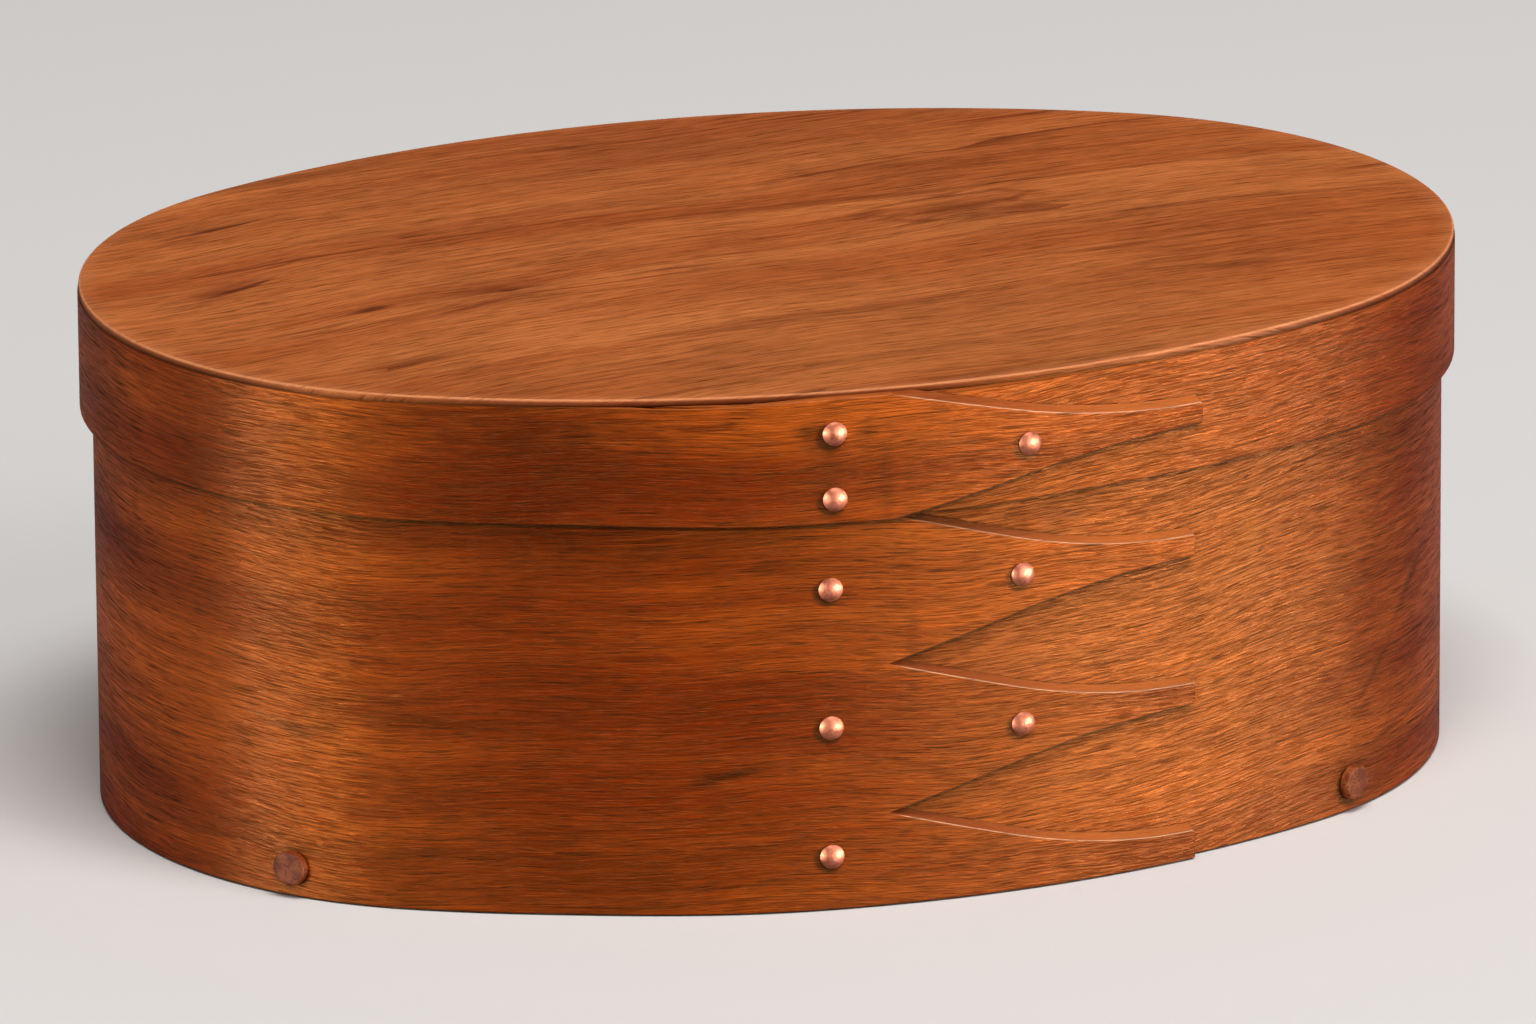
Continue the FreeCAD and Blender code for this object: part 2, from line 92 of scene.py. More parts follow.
def stepped(stops, counts):
    # places from each stop to the next, with a count of places for each stretch
    stretches = zip(stops, stops[1:], counts)
    return np.concatenate([*(np.linspace(low, high, count)[:-1] for low, high, count in stretches),
                           stops[-1:]])


# meshes

meshing = {"sharpAngle": math.radians(34), "weldReach": 1e-6, "sliver": 1e-7}
# the arris mark carries a painted highlight, partly pale worn edge, and the third mark paints shade
# on undersides, in seams and round finger tips
markNames = ("cutSide", "arris", "paintedShade")  # what the wood's material reads at each point


def makePiece(name, points, faces, node, material, marks=None, uv=None):
    # faces is a list of index arrays, each of one width
    mesh = bpy.data.meshes.new(name)
    loops = np.concatenate([block.ravel() for block in faces])
    sizes = np.concatenate([np.full(len(block), block.shape[1]) for block in faces])
    starts = np.concatenate([[0], np.cumsum(sizes)[:-1]])
    mesh.vertices.add(len(points))
    mesh.vertices.foreach_set("co", points.astype(np.float32).ravel())
    mesh.loops.add(len(loops))
    mesh.loops.foreach_set("vertex_index", loops.astype(np.int32))
    mesh.polygons.add(len(sizes))
    mesh.polygons.foreach_set("loop_start", starts.astype(np.int32))
    mesh.update(calc_edges=True)
    if uv is not None:
        layer = mesh.uv_layers.new(name="grain")
        layer.data.foreach_set("uv", uv[loops].astype(np.float32).ravel())
    if marks is not None:
        for attributeName, values in zip(markNames, marks.T):
            attribute = mesh.attributes.new(attributeName, "FLOAT", "POINT")
            attribute.data.foreach_set("value", values.astype(np.float32))
    mesh.materials.append(material)
    piece = bpy.data.objects.new(name, mesh)
    addToScene(piece)
    weld(mesh)
    mesh.polygons.foreach_set("use_smooth", np.ones(len(mesh.polygons), bool))
    mesh.set_sharp_from_angle(angle=meshing["sharpAngle"])
    body = "lid" if node.startswith("lid") else "box"
    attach(piece, body)
    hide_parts(node)


def weld(mesh):
    # merges the vertices that grids share, and drops the faces that this closes up
    work = bmesh.new()
    work.from_mesh(mesh)
    bmesh.ops.remove_doubles(work, verts=work.verts, dist=meshing["weldReach"])
    bmesh.ops.dissolve_degenerate(work, edges=work.edges, dist=meshing["sliver"])
    work.to_mesh(mesh)
    work.free()
    mesh.update()


def gridFaces(rows, columns, first=0):
    # quads between neighbours of a grid of rows by columns, whose last column joins its first
    row = np.arange(rows - 1)[:, None]
    column = np.arange(columns)[None, :]
    beside = (column + 1) % columns
    here, there = row * columns, (row + 1) * columns
    quads = np.stack([here + column, there + column, there + beside, here + beside], -1)
    return quads.reshape(-1, 4) + first


# the strips' shape

strip = {
    "thickness": 0.0017, "lapGap": 0.00006, "featherEnd": 0.00025,
    "riseStart": -0.058, "riseLength": 0.044,  # where the outer layer climbs over the inner end
    "root": -0.0024, "fallLength": 0.044,  # the finger roots, and the lid's fall back from there
    "fingerLength": 0.052, "straight": 0.020, "tipHalf": 0.00175, "tipCorner": 0.0007,
    "bevel": 0.0008, "edgeRound": 0.00028, "fingerRound": 0.00022, "roundShare": 0.35,
    "roundGrows": 0.003,  # the length over which a finger's own roundings begin
    "skin": 0.00003, "baseGap": 0.000003, "baseGapGrows": 0.0005,
    "rimDrawIn": (-0.044, 0.008), "rimClimb": (-0.035, 0.025),  # start and length of each
    # the rims' marks weigh their paler cut side, their painted arris highlight and the painted
    # shade on their lower edge; the seam weight paints shade under the lid board's lip and round a
    # finger's tip
    "rimMarks": (0.5, 0.15, 1.0), "seamShade": 0.8,
    "fineAfter": 0.060, "fineBefore": 0.062, "runSteps": (24, 60, 330, 60),
    "rootZone": 0.004, "fingerSteps": (9, 56, 5), "tipSteps": 5, "plainSteps": 6,
}
lapStep = strip["thickness"] + strip["lapGap"]
riseEnd = strip["riseStart"] + strip["riseLength"]
curved = strip["fingerLength"] - strip["straight"]  # the curved part of a finger
cornerSteps = 4  # faces round one edge
faceSteps = 9  # faces across one finger
tiny = 1e-6

# each finger is its lower edge, centre line and upper edge at the root
boxBand = {
    "inside": -0.0017, "bulge": 0.0, "bottom": 0.0, "top": 0.0778, "lapTop": 0.0778,
    "fingers": [(0.0, 0.0029, 0.0150), (0.0150, 0.0271, 0.0392), (0.0392, 0.0513, 0.0634)],
}
lidBand = {
    "inside": 0.0003, "bulge": 0.00176, "bottom": 0.0637, "top": 0.0826, "lapTop": 0.0838,
    "fingers": [(0.0637, 0.0733, 0.0838)],
}


def lapRise(distance):
    return easeUp(distance, strip["riseStart"], strip["riseLength"])


def bandFace(band, distance):
    # how far out a strip's inside lies; the lid's bulges where the box's strip is lapped
    fall = easeUp(distance, strip["root"], strip["fallLength"])
    return band["inside"] + band["bulge"] * lapRise(distance) * (1 - fall)


def lapFace(band, distance):
    # how far out the inside of the outer layer lies
    return bandFace(band, distance) + lapStep * lapRise(distance)


def reachesEdges(band, finger):
    # whether a finger's root reaches the strip's lower and upper edges
    return finger[0] < band["bottom"] + tiny, finger[2] > band["lapTop"] - tiny


def isHalved(band, finger):
    # the lower edge cuts the lowest of several fingers in half
    return reachesEdges(band, finger) == (True, False)


def fingerSlope(rootHalf):
    return (rootHalf - strip["tipHalf"]) / (strip["straight"] + curved / 2)


def fingerHalf(along, rootHalf):
    # straight from the root, then a parabola that comes level at the tip
    slope, left = fingerSlope(rootHalf), strip["fingerLength"] - along
    return np.where(along < strip["straight"], rootHalf - slope * along,
                    strip["tipHalf"] + slope * left ** 2 / (2 * curved))


def stripSection(corners, rounding, shares):
    # A closed ring of (offset, height) points for each row, from the low outer corner up and
    # round to the low inner one. A corner is a quadratic curve from a point short of it to a
    # point past it, and the two faces are divided at the shares of their height.
    corners = np.stack([np.stack(pair, -1) for pair in corners], 1)
    t = np.linspace(0, 1, cornerSteps + 1)[None, :, None]
    stretches = []
    for number in range(4):
        corner = corners[:, number]
        before = corners[:, number - 1] - corner
        after = corners[:, (number + 1) % 4] - corner
        reach = rounding[:, number, None]
        before = (corner + before / np.linalg.norm(before, axis=1)[:, None] * reach)[:, None]
        after = (corner + after / np.linalg.norm(after, axis=1)[:, None] * reach)[:, None]
        stretches.append((1 - t) ** 2 * before + 2 * t * (1 - t) * corner[:, None] + t ** 2 * after)
        if number in (0, 2):
            steps = (shares if number == 0 else 1 - shares[::-1])[None, :, None]
            stretches.append(corner[:, None] * (1 - steps) + corners[:, None, number + 1] * steps)
    return np.concatenate(stretches, axis=1)


def unfolded(section, outer):
    # the place across the strip, measured over its cut sides too: the height, with the depth
    # below the outer face added above and taken off below
    heights = section[..., 1]
    low, high = heights.min(1, keepdims=True), heights.max(1, keepdims=True)
    return heights + (outer[:, None] - section[..., 0]) * (2 * (heights - low) / (high - low) - 1)


def edgeMarks(shares, squareInside=False):
    # Three marks round a section: its upper cut side, painted paler, the rounded arris between that
    # and the outer face, where a highlight is painted, and its lower side, where shade is painted.
    # A finger is square inside, so there the marks run on to the corner.
    level, face = np.zeros(cornerSteps + 1), np.zeros(len(shares))
    rising = np.clip(np.arange(cornerSteps + 1) / cornerSteps * 2 - 1, 0, 1)
    middle = np.array([0.0, 0.25, 1.0, 0.15, 0.0])
    under = np.array([1.0, 1.0, 0.9, 0.5, 0.0])
    insideTop, insideLow = (level + 1, level + 1) if squareInside else (rising[::-1], under[::-1])
    cutSide = np.concatenate([level, face, rising, insideTop, face, level])
    arris = np.concatenate([level, face, middle, level, face, level])
    paintedShade = np.concatenate([under, face, level, level, face, insideLow])
    return np.stack([cutSide, arris, paintedShade], -1)


def sweptGrid(band):
    # The strip goes from its feathered inner end once round and up over itself to the finger
    # roots. Where lapTop is above top, the outer layer draws in and rises past the board's lip.
    # Gives each point's distance, place in the section, marks and place across, then the faces.
    bottom, top, lapTop = band["bottom"], band["top"], band["lapTop"]
    featherShare = (strip["featherEnd"] + strip["lapGap"]) / lapStep
    start = strip["riseStart"] + strip["riseLength"] * math.acos(1 - 2 * featherShare) / math.pi
    lapStart = wholeWay - strip["fineBefore"]
    run = stepped([start, riseEnd, strip["fineAfter"], lapStart, wholeWay + strip["root"]],
                  strip["runSteps"])
    secondLayer = run >= lapStart
    front = np.where(secondLayer, run - wholeWay, run)
    inner = np.where(secondLayer, lapFace(band, front), bandFace(band, front))
    outer = np.where(front < riseEnd, lapFace(band, front) - strip["lapGap"],
                     inner + strip["thickness"])
    outer = np.where(secondLayer, inner + strip["thickness"], outer) - strip["skin"]
    rimTop, rimInner = np.full_like(run, top), inner
    if lapTop > top:
        clear = bandFace(band, front) + strip["thickness"] + strip["lapGap"] / 2
        drawIn = (np.maximum(clear, inner) - inner) * easeUp(front, *strip["rimDrawIn"])
        rimInner = inner + drawIn * secondLayer
        rimTop = top + (lapTop - top) * easeUp(front, *strip["rimClimb"]) * secondLayer
    rounding = np.minimum(strip["edgeRound"], strip["roundShare"] * (outer - rimInner))

    # the faces are divided so that each finger's root meets the same points
    heights = np.concatenate([low + (high - low) * np.arange(1, faceSteps + 1) / faceSteps
                              for low, centre, high in band["fingers"]])
    if heights[-1] < lapTop - tiny:
        plain = np.linspace(heights[-1], lapTop, strip["plainSteps"])
        heights = np.concatenate([heights, plain[1:]])
    shares = (heights[:-1] - bottom) / (lapTop - bottom)
    low = np.full_like(run, bottom)
    section = stripSection([(outer, low), (outer, rimTop), (rimInner, rimTop), (inner, low)],
                           rounding[:, None] * np.ones(4), shares)
    rows, columns = section.shape[:2]
    marks = np.broadcast_to(edgeMarks(shares) * strip["rimMarks"], (rows, columns, 3)).copy()
    if lapTop > top:  # painted shade lies under the lid board's lip, which also takes off the arris highlight
        covered = (lapTop - rimTop)[:, None] / (lapTop - top)
        lipShade = strip["seamShade"] * covered * edgeMarks(shares)[:, 1]
        marks[..., 2] = np.maximum(marks[..., 2], lipShade)
        marks[..., 1] *= 1 - covered

    faces = [gridFaces(rows, columns), np.arange(columns)[None, :]]  # the second closes the start
    above = heights[:-1] > band["fingers"][-1][2] - tiny
    if above.any():  # the plain end above the fingers, under the lid
        lowOuter = cornerSteps + 1 + int(np.argmax(above))
        lowInner = 3 * (cornerSteps + 1) + len(shares) + int(np.sum(above)) - 1
        faces.append((rows - 1) * columns + np.arange(lowOuter, lowInner + 1)[::-1][None, :])
    distance = np.broadcast_to(run[:, None], (rows, columns))
    return (distance, section, marks, unfolded(section, outer)), faces


def fingerGrid(band, finger, first):
    # A finger goes on from the roots as a grid of its own, numbered from first. Gives what
    # sweptGrid gives.
    low, centre, high = finger
    lowEdge, highEdge = reachesEdges(band, finger)
    length = strip["fingerLength"]
    quarter = np.linspace(0, np.pi / 2, strip["tipSteps"])
    tipEdge = length - strip["fingerRound"] * (1 - np.sin(quarter))
    stops = [0, strip["rootZone"], length - strip["tipCorner"], tipEdge[0]]
    along = np.concatenate([stepped(stops, strip["fingerSteps"]), tipEdge[1:]])
    trim = arcDrop(along - (length - strip["tipCorner"]), strip["tipCorner"])
    inner = lapFace(band, strip["root"] + along)
    outer = (inner + strip["thickness"] - strip["skin"]
             - arcDrop(along - tipEdge[0], strip["fingerRound"]))
    faceLow = centre - fingerHalf(along, centre - low) + trim
    faceHigh = centre + fingerHalf(along, high - centre) - trim
    # neighbours' bases meet only at the root
    apart = strip["baseGap"] * np.clip(along / strip["baseGapGrows"], 0, 1)
    baseLow = np.maximum(faceLow - strip["bevel"], low + apart)
    baseHigh = np.minimum(faceHigh + strip["bevel"], high - apart)

    grown = np.clip(along / strip["roundGrows"], 0, 1)
    own, edge = strip["fingerRound"] * grown, np.full_like(along, strip["edgeRound"])
    atEdge, inside = (edge + (own - edge) * grown, edge * (1 - grown)), (own, own * 0)
    lowRound, lowInnerRound = atEdge if lowEdge else inside
    highRound, highInnerRound = atEdge if highEdge else inside
    if isHalved(band, finger):
        faceLow = baseLow = np.full_like(along, band["bottom"])
        lowRound = lowInnerRound = edge
    shares = np.arange(1, faceSteps) / faceSteps
    corners = [(outer, faceLow), (outer, faceHigh), (inner, baseHigh), (inner, baseLow)]
    rounding = np.stack([lowRound, highRound, highInnerRound, lowInnerRound], 1)
    section = stripSection(corners, rounding, shares)
    rows, columns = section.shape[:2]
    rimShare = np.array(strip["rimMarks"]) * [highEdge, highEdge, lowEdge]
    markShare = rimShare + (1 - rimShare) * grown[:, None]
    marks = edgeMarks(shares, squareInside=True)[None] * markShare[:, None, :]
    # painted shade round a finger's tip
    atTip = np.clip((along - tipEdge[0]) / strip["fingerRound"], 0, 1)[:, None]
    marks[..., 2] = np.maximum(marks[..., 2], strip["seamShade"] * atTip)

    distance = np.broadcast_to(wholeWay + strip["root"] + along[:, None], (rows, columns))
    tipFace = first + (rows - 1) * columns + np.arange(columns)[::-1][None, :]
    return ((distance, section, marks, unfolded(section, outer)),
            [gridFaces(rows, columns, first), tipFace])


def bentStrip(name, node, band, material, grain):
    block, faces = sweptGrid(band)
    blocks = [block]
    for finger in band["fingers"]:
        count = sum(block[0].size for block in blocks)
        block, fingerFaces = fingerGrid(band, finger, count)
        blocks.append(block)
        faces += fingerFaces
    widths = (1, 2, 3, 1)
    distance, section, marks, across = (
        np.concatenate([block[part].reshape(-1, width) for block in blocks])
        for part, width in enumerate(widths))
    distance, across = distance[:, 0], across[:, 0]
    x, y, outX, outY = wallPlace(distance, section[:, 0])
    points = np.stack([x, y, section[:, 1]], -1)
    uv = np.stack([distance, grainAcross(distance, across, grain)], -1)
    makePiece(name, points, faces, node, material, marks, uv)


def turned(along, across, turn):
    # a place in plan, measured along and across grain that runs at an angle to the length
    return (along * math.cos(turn) + across * math.sin(turn),
            across * math.cos(turn) - along * math.sin(turn))


def grainAcross(along, across, shape):
    # the height across the grain, bent by gentle slopes, by waves, and by swirls that push the
    # grain apart round a knot or a curl
    bent = across.copy()
    for start, length, rise in shape["slopes"]:
        bent = bent - rise * easeUp(along, start, length)
    for height, wave, phase in shape["waves"]:
        bent = bent + height * np.sin(2 * np.pi * along / wave + phase)
    for centreAlong, centreAcross, wide, tall, push in shape["swirls"]:
        near = np.exp(-((along - centreAlong) / wide) ** 2 - ((across - centreAcross) / tall) ** 2)
        bent = bent + push * near * np.tanh((across - centreAcross) / (tall * 0.5))
    return bent


# node trees

class Value:
    # a node's output; sums and products of it add nodes

    def __init__(self, work, socket):
        self.work, self.socket = work, socket

    def __add__(self, other):
        return self.work.calc("ADD", self, other)

    def __sub__(self, other):
        return self.work.calc("SUBTRACT", self, other)

    def __rsub__(self, other):
        return self.work.calc("SUBTRACT", other, self)

    def __mul__(self, other):
        return self.work.calc("MULTIPLY", self, other)


class NodeWork:
    # short ways to add nodes to a material or a world; an input is a Value or a plain value

    def __init__(self, owner):
        owner.use_nodes = True
        self.owner, self.tree = owner, owner.node_tree
        self.tree.nodes.clear()

    def put(self, socket, value):
        if isinstance(value, Value):
            self.tree.links.new(value.socket, socket)
        else:
            socket.default_value = value

    def node(self, kind, inputs=None, output=0, **settings):
        made = self.tree.nodes.new(kind)
        for key, value in settings.items():
            setattr(made, key, value)
        for key, value in (inputs or {}).items():
            self.put(made.inputs[key], value)
        return Value(self, made.outputs[output])

    def calc(self, operation, first, second=0.0, third=0.0, clamp=False):
        return self.node("ShaderNodeMath", {0: first, 1: second, 2: third}, operation=operation,
                         use_clamp=clamp)

    def vector(self, operation, *values, output=0):
        return self.node("ShaderNodeVectorMath", dict(enumerate(values)), output,
                         operation=operation)

    def parts(self, vector):
        made = self.node("ShaderNodeSeparateXYZ", {0: vector}).socket.node
        return [Value(self, socket) for socket in made.outputs]

    def mark(self, name):
        return self.node("ShaderNodeAttribute", output="Fac", attribute_name=name)

    def noise(self, vector, scale=1.0, detail=2.0, roughness=0.5, distortion=0.0):
        return self.node("ShaderNodeTexNoise", {
            "Vector": vector, "Scale": scale, "Detail": detail, "Roughness": roughness,
            "Distortion": distortion}, "Fac")

    def spread(self, value, low, high, newLow=0.0, newHigh=1.0, smooth=True):
        # low to high becomes newLow to newHigh, held at both ends
        return self.node("ShaderNodeMapRange", {0: value, 1: low, 2: high, 3: newLow, 4: newHigh},
                         interpolation_type="SMOOTHSTEP" if smooth else "LINEAR")

    def swing(self, value, low, high, middle, reach):
        # low to high becomes a reach either side of a middle
        return self.spread(value, low, high, middle - reach, middle + reach, smooth=False)

    def blend(self, factor, first, second):
        return self.node("ShaderNodeMix", {0: factor, 6: first, 7: second}, 2, data_type="RGBA")

    def bump(self, height, strength, distance, **below):
        return self.node("ShaderNodeBump", {"Strength": strength, "Distance": distance,
                                            "Height": height, **below})

    def finish(self, inputs):
        out = self.tree.nodes.new("ShaderNodeOutputMaterial")
        self.put(out.inputs["Surface"], self.node("ShaderNodeBsdfPrincipled", inputs))
        return self.owner


def colour(red, green, blue):
    # 0-255 screen values to the linear colour that nodes want
    values = np.array([red, green, blue]) / 255
    linear = np.where(values <= 0.04045, values / 12.92, ((values + 0.055) / 1.055) ** 2.4)
    return (*linear.tolist(), 1.0)


# where the tacks and pegs go: distance along the wall and height

column, onFinger = -0.0114, 0.0193
tackPlaces = {
    "box": [(column, 0.0087), (column, 0.0296), (column, 0.0520), (onFinger, 0.0271),
            (onFinger, 0.0513)],
    "lid": [(column, 0.0677), (column, 0.0782), (onFinger, 0.0733)],
}
pegPlaces = {"left": -0.0963, "right": 0.0835, "height": 0.0047}


# painted shade: dark lines along the fingers' feet and under the lid's lower edge, and painted
# shadows under the tacks' and pegs' heads

paintedShadows = {
    "below": ((0.0007, 0.9), (0.0024, 0.4)), "above": ((0.0003, 0.5),),  # reach and strength
    "pastTip": 0.0004, "soft": 0.2,
    "lid": (0.0005, 0.0008, 0.0005, 0.85),  # how far under, half width, drop at the lap, strength
    "tack": (-0.0006, -0.0005, 0.0023, 0.9),  # shift along and up, radius and strength
    "peg": (-0.0004, -0.0005, 0.0035, 0.85),
    "tone": (40, 13, 3),
}


def paintedShadowSpot(kind, distance, height):
    # a painted shadow under a tack's or a peg's head, shifted left and down
    along, up, radius, strength = paintedShadows[kind]
    return "spot", distance + along, height + up, radius, radius, 0, strength, paintedShadows["tone"]


def paintedShadeLines(work, straight, band, underLid):
    # Painted shade on the outside of a strip, along each finger's foot and under the lid's lower
    # edge. A finger's half height is its root's less slope times (u - q / 2c): u is the distance
    # past the root, q the square of u's part past the straight, and c the curved part's length.
    place = work.node("ShaderNodeTexCoord", output="Object")
    normal = work.node("ShaderNodeNewGeometry", output="True Normal")
    outward = work.vector("DOT_PRODUCT", place, normal, output="Value")
    x, y, z = work.parts(place)
    past = work.parts(straight)[0] - strip["root"]
    bend = work.calc("MAXIMUM", past - strip["straight"], 0)
    bend = past + work.calc("DIVIDE", bend * bend, -2 * curved)
    shade = 0.0
    for low, centre, high in band["fingers"]:
        feet = [(high - centre, 1, line) for line in paintedShadows["above"]]
        if not isHalved(band, (low, centre, high)):
            feet += [(centre - low, -1, line) for line in paintedShadows["below"]]
        for rootHalf, side, (reach, strength) in feet:
            foot = work.calc("MULTIPLY_ADD", bend, -side * fingerSlope(rootHalf),
                             centre + side * (rootHalf + strip["bevel"]))
            away = work.calc("ABSOLUTE", z - foot)
            line = work.spread(away, reach, reach * paintedShadows["soft"], 0, strength)
            shade = work.calc("MAXIMUM", shade, line)
    tip = strip["fingerLength"]
    shade = shade * work.spread(past, tip + paintedShadows["pastTip"], tip)
    shade = shade * work.calc("GREATER_THAN", past, 0.0)
    if underLid:  # the line is lower where the strips are lapped
        under, half, drop, strength = paintedShadows["lid"]
        lap = (work.spread(x, strip["riseStart"], riseEnd)
               * work.spread(x, strip["root"] + strip["fallLength"], strip["root"])
               * work.calc("LESS_THAN", y, 0.0))
        level = work.calc("MULTIPLY_ADD", lap, drop, z)
        away = work.calc("ABSOLUTE", level - (lidBand["bottom"] - under))
        shade = work.calc("MAXIMUM", shade, work.spread(away, half, half / 2, 0, strength))
    return shade * work.calc("GREATER_THAN", outward, 0.0)


# wood

# waves to the metre along and across the grain
weave = {
    "wander": (30, 60), "bands": (7, 80), "lines": (4, 60), "lineGaps": (20, 200),
    "coarse": (30, 1500), "fibres": (110, 3500), "pores": (190, 5000), "glints": (140, 4600),
    "mottle": (38, 26), "cloud": (9, 12), "ragged": (180, 900),
}
# kinds of placed figure: how ragged, whether only its rim shows, the share of it at full strength
figureKinds = {"streak": (1.3, False, 0.1), "patch": (0.9, False, 0.0), "loop": (1.0, True, 0.1),
               "spot": (0.3, False, 0.75)}
figureEdge, rimSharpness = 1.15, 4


def placed(figures, grain):
    # the figures' heights, bent as the grain's are
    return [(kind, along, float(grainAcross(along, np.array([across]), grain)[0]), *rest)
            for kind, along, across, *rest in figures]


def figureMask(work, straight, ragged, kind, along, across, halfLength, halfHeight, turn, strength):
    # the distance from a figure's middle in its own half sizes, made ragged
    roughness, hollow, full = figureKinds[kind]
    about = work.node("ShaderNodeMapping", {
        "Vector": straight, "Location": (along, across, 0), "Rotation": (0, 0, turn),
        "Scale": (halfLength, halfHeight, 1)}, vector_type="TEXTURE")
    away = work.vector("LENGTH", about, output="Value")
    away = work.calc("MULTIPLY_ADD", ragged, roughness, away)
    if hollow:
        away = work.calc("ABSOLUTE", away - 1) * rimSharpness
    return work.spread(away, figureEdge, full, 0, strength)


def cherryWood(name, look):
    # Cherry under an oiled finish, on the piece's own map of its grain: broad bands, growth
    # lines, placed figures, some of them painted light and shade, dashes of fibre and mottle,
    # then paler cut edges, partly painted light, a painted arris highlight and painted shade in
    # creases and along the fingers' feet.
    work = NodeWork(bpy.data.materials.new(name))
    straight = work.node("ShaderNodeUVMap", uv_map="grain")
    wander = work.noise(work.vector("MULTIPLY_ADD", straight, (*weave["wander"], 0), (0, 0, 0)))
    shift = work.node("ShaderNodeCombineXYZ", {"Y": (wander - 0.5) * look["wander"]})
    grain = work.vector("ADD", straight, shift)
    seed = (look["seed"], look["seed"] * 1.7, look["seed"] * 0.6)

    def pattern(key, detail=2, roughness=0.5, distortion=0.0, start=seed):
        vector = work.vector("MULTIPLY_ADD", grain, (*weave[key], 0), start)
        return work.noise(vector, 1, detail, roughness, distortion)

    bands = pattern("bands", 3, 0.55, 0.3)
    lines = work.calc("FRACT", pattern("lines", 2, 0.5, 0.4) * look["lineCount"])
    lines = work.spread(lines, 0.72, 0.97) * work.spread(pattern("lineGaps"), 0.4, 0.65)
    coarse, fibres = pattern("coarse", 3, 0.6), pattern("fibres", 3, 0.7)
    pores = work.spread(pattern("pores", 1), 0.56, 0.70)
    glints = work.spread(pattern("glints", 1, start=seed[::-1]), 0.56, 0.72)
    mottle, cloud = pattern("mottle", 2, 0.5, 0.6), pattern("cloud")
    ragged = pattern("ragged") - 0.5

    tone = work.blend(work.spread(bands, 0.33, 0.68), look["deep"], look["light"])
    tone = work.blend(work.spread(cloud, 0.45, 0.75) * look["cloud"], tone, look["warm"])
    tone = work.blend(lines * look["lineStrength"], tone, look["line"])
    for *figure, tint in look["figures"]:
        tone = work.blend(figureMask(work, straight, ragged, *figure), tone, colour(*tint))
    shade = (work.swing(coarse, 0.25, 0.75, 1, look["coarse"])
             + work.swing(fibres, 0.28, 0.72, 0, look["fibre"])
             + work.swing(mottle, 0.3, 0.7, 0, look["mottle"])
             - pores * look["pore"] + glints * look["glint"])
    tone = work.node("ShaderNodeVectorMath", {0: tone, 3: shade}, operation="SCALE")

    # cut sides are paler, partly as cut wood and partly as painted light on faces turned up, and
    # get painted shade near a finger's root
    cut = work.mark("cutSide") * look["cutSide"]
    along, (rootEnd, rootStart) = work.parts(straight)[0], look["rootReach"]
    rootShade = work.spread(along, wholeWay + rootStart, wholeWay + rootEnd)
    rootShade = rootShade * work.calc("GREATER_THAN", along, wholeWay + strip["root"])
    tone = work.blend(cut, tone, work.blend(rootShade, look["cutTone"], look["rootShadeTone"]))
    # a painted highlight along the rounded arris, partly pale worn edge, its strength varied by the
    # coarse noise
    highlightAndWear = work.spread(coarse, 0.25, 0.5, look["arris"] / 2, look["arris"])
    tone = work.blend(work.mark("arris") * highlightAndWear, tone, look["arrisHighlightTone"])
    # painted shade on lower edges, in seams and round finger tips
    tone = work.blend(work.mark("paintedShade") * look["paintedShade"], tone, look["paintedShadeTone"])
    # painted shade along the fingers' feet and under the lid's lower edge
    if look["band"]:
        shadeLines = paintedShadeLines(work, straight, look["band"], look["underLid"])
        tone = work.blend(shadeLines, tone, look["paintedShadeTone"])

    gloss = work.swing(fibres, 0.3, 0.7, look["roughness"], -look["glossRange"])
    gloss = work.calc("ADD", gloss, pores * (2 * look["glossRange"]), clamp=True)
    height = (fibres + glints * 0.5 - pores * 0.8) * (1 - cut)
    normal = work.bump(height, look["grainBump"], look["grainDepth"])
    normal = work.bump(mottle, look["waveBump"], look["waveDepth"], Normal=normal)
    tangent = work.node("ShaderNodeTangent", direction_type="UV_MAP", uv_map="grain")
    return work.finish({
        "Base Color": tone, "Roughness": gloss, "IOR": 1.5, "Specular IOR Level": look["specular"],
        "Specular Tint": look["specularTint"], "Anisotropic": look["anisotropy"],
        "Anisotropic Rotation": 0.25, "Tangent": tangent, "Normal": normal})


sideCherry = {
    "seed": 3.0, "deep": colour(129, 39, 2), "light": colour(195, 88, 20),
    "warm": colour(160, 56, 5), "line": colour(104, 34, 4), "cloud": 0.5, "wander": 0.0016,
    "lineCount": 5.0, "lineStrength": 0.5,
    "coarse": 0.30, "fibre": 0.55, "mottle": 0.09, "pore": 0.50, "glint": 0.52,
    "roughness": 0.39, "glossRange": 0.16, "specular": 0.6, "specularTint": colour(255, 152, 66),
    "anisotropy": 0.8,
    "grainBump": 1.0, "grainDepth": 0.0002, "waveBump": 0.06, "waveDepth": 0.0006,
    # cut sides painted paler, partly as light on faces turned up, with painted shade near the root;
    # the arris gets a painted highlight and the lower edges painted shade
    "cutSide": 0.65, "cutTone": colour(208, 118, 58), "rootShadeTone": colour(132, 62, 34),
    "rootReach": (0.004, 0.038), "arris": 1.0, "arrisHighlightTone": colour(255, 202, 164),
    "paintedShade": 0.95, "paintedShadeTone": colour(34, 11, 2), "band": None, "underLid": False,
}
boardCherry = dict(
    sideCherry, seed=11.0, deep=colour(176, 87, 38), light=colour(204, 115, 58),
    warm=colour(186, 93, 41), specular=0.3, fibre=0.42, coarse=0.22, pore=0.5, glint=0.35,
    grainBump=0.6, lineStrength=0.7, cutSide=0.75, cutTone=colour(150, 70, 38), arris=0.95,
    arrisHighlightTone=colour(242, 156, 104))
flame, darkLine, purple = (140, 50, 6), (92, 30, 6), (128, 56, 34)
stain, shadowed = (92, 30, 4), (136, 60, 28)


def onceRound(figures):
    # the outer layer and what is left of it are measured on from once round
    return [(kind, wholeWay + along, *rest) for kind, along, *rest in figures]


